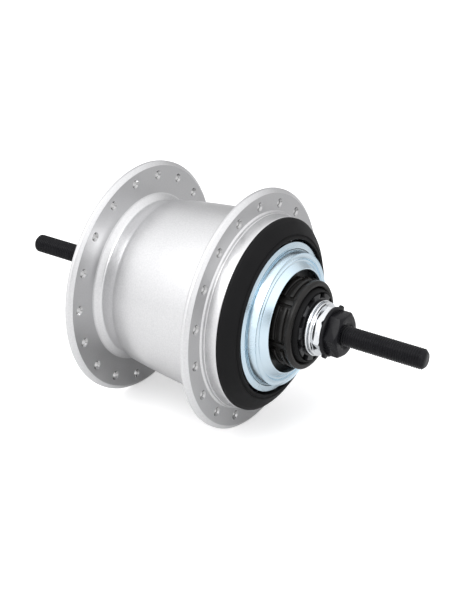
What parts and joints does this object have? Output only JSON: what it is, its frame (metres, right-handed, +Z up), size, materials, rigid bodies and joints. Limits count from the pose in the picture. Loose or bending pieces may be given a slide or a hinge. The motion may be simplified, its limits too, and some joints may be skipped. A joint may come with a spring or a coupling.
{
  "type": "internal gear hub",
  "caption": "Rear wheel hub with planetary gears inside its shell, two drilled spoke flanges, a keyed sprocket driver and a threaded axle held by locknuts.",
  "frame": {"origin": "middle of the axle on its axis, halfway between the outer faces of the two locknuts", "axes": "+Y along the axle towards the left (non-drive) side, so the sprocket driver is at -Y; +Z up"},
  "size_m": [0.1192, 0.23, 0.1192],
  "materials": {
    "silver_shell": "satin blasted aluminium",
    "black_rubber_plastic": "matte black moulded plastic",
    "blue_zinc": "bright zinc with a blue passivation",
    "black_driver": "black oxide, lightly oiled",
    "black_steel": "black plated steel",
    "bright_zinc": "bright zinc plated steel",
    "dark_shift": "dark grey satin",
    "hard_steel": "ground bearing steel",
    "gear_steel": "machined gear steel with grease",
    "spring_steel": "pressed steel",
    "bronze": "sintered bronze"
  },
  "bodies": {
    "axle": {"axle": "black_steel", "fixed_sun_gear": "gear_steel", "sun_spacer": "spring_steel", "right_cone": "hard_steel", "right_locknut": "bright_zinc", "right_washer": "black_steel", "right_axle_nut": "black_steel", "left_cone": "hard_steel", "left_spacer": "bright_zinc", "left_locknut": "bright_zinc", "left_washer": "black_steel", "left_axle_nut": "black_steel"},
    "shell": {"hub_shell": "silver_shell", "mouth_dust_ring": "black_rubber_plastic", "mouth_ball_race": "hard_steel", "left_ball_cup": "hard_steel", "left_dust_cap": "spring_steel", "clutch_race": "hard_steel"},
    "driver": {"driver": "black_driver", "driver_dust_cap": "blue_zinc", "driver_ball_cup": "hard_steel", "driver_bush": "bronze", "driver_seal": "black_rubber_plastic", "driver_circlip": "spring_steel", "ring_gear": "gear_steel"},
    "carrier": {"planet_carrier": "gear_steel", "planet_pins": "gear_steel", "clutch_cam": "hard_steel", "clutch_rollers": "hard_steel", "clutch_cage": "black_rubber_plastic"},
    "planet_1": {"planet_gear_1": "gear_steel"},
    "planet_2": {"planet_gear_2": "gear_steel"},
    "planet_3": {"planet_gear_3": "gear_steel"},
    "free_sun": {"free_sun_gear": "gear_steel"},
    "shifter": {"shift_ring": "dark_shift", "cam_sleeve": "gear_steel"},
    "left_bearing": {"left_balls": "hard_steel", "left_ball_cage": "spring_steel"},
    "driver_bearing": {"driver_balls": "hard_steel", "driver_ball_cage": "spring_steel"},
    "mouth_bearing": {"mouth_balls": "hard_steel", "mouth_ball_cage": "spring_steel"}
  },
  "joints": [
    {"name": "shell_spin", "type": "hinge", "parent": "axle", "child": "shell", "pos_m": [0, 0, 0], "axis": [0, 1, 0], "continuous": true},
    {"name": "driver_spin", "type": "hinge", "parent": "axle", "child": "driver", "pos_m": [0, 0, 0], "axis": [0, 1, 0], "continuous": true},
    {"name": "carrier_spin", "type": "hinge", "parent": "axle", "child": "carrier", "pos_m": [0, 0, 0], "axis": [0, 1, 0], "continuous": true},
    {"name": "planet_1_spin", "type": "hinge", "parent": "carrier", "child": "planet_1", "pos_m": [0, -0.0013, 0.0225], "axis": [0, 1, 0], "continuous": true},
    {"name": "planet_2_spin", "type": "hinge", "parent": "carrier", "child": "planet_2", "pos_m": [-0.01949, -0.0013, -0.01125], "axis": [0, 1, 0], "continuous": true},
    {"name": "planet_3_spin", "type": "hinge", "parent": "carrier", "child": "planet_3", "pos_m": [0.01949, -0.0013, -0.01125], "axis": [0, 1, 0], "continuous": true},
    {"name": "free_sun_spin", "type": "hinge", "parent": "axle", "child": "free_sun", "pos_m": [0, 0, 0], "axis": [0, 1, 0], "continuous": true},
    {"name": "shift_ring_turn", "type": "hinge", "parent": "axle", "child": "shifter", "pos_m": [0, 0, 0], "axis": [0, -1, 0], "range_deg": [0, 96]},
    {"name": "left_bearing_roll", "type": "hinge", "parent": "axle", "child": "left_bearing", "pos_m": [0, 0, 0], "axis": [0, 1, 0], "continuous": true},
    {"name": "driver_bearing_roll", "type": "hinge", "parent": "axle", "child": "driver_bearing", "pos_m": [0, 0, 0], "axis": [0, 1, 0], "continuous": true},
    {"name": "mouth_bearing_roll", "type": "hinge", "parent": "axle", "child": "mouth_bearing", "pos_m": [0, 0, 0], "axis": [0, 1, 0], "continuous": true}
  ],
  "couplings": [
    {"joint": "carrier_spin", "follows": "driver_spin", "ratio": 0.70833},
    {"joint": "planet_1_spin", "follows": "driver_spin", "ratio": 0.99167},
    {"joint": "planet_2_spin", "follows": "driver_spin", "ratio": 0.99167},
    {"joint": "planet_3_spin", "follows": "driver_spin", "ratio": 0.99167},
    {"joint": "free_sun_spin", "follows": "driver_spin", "ratio": 0.2125},
    {"joint": "left_bearing_roll", "follows": "shell_spin", "ratio": 0.59677},
    {"joint": "driver_bearing_roll", "follows": "driver_spin", "ratio": 0.56375},
    {"joint": "mouth_bearing_roll", "follows": "shell_spin", "ratio": 0.52178}
  ]
}
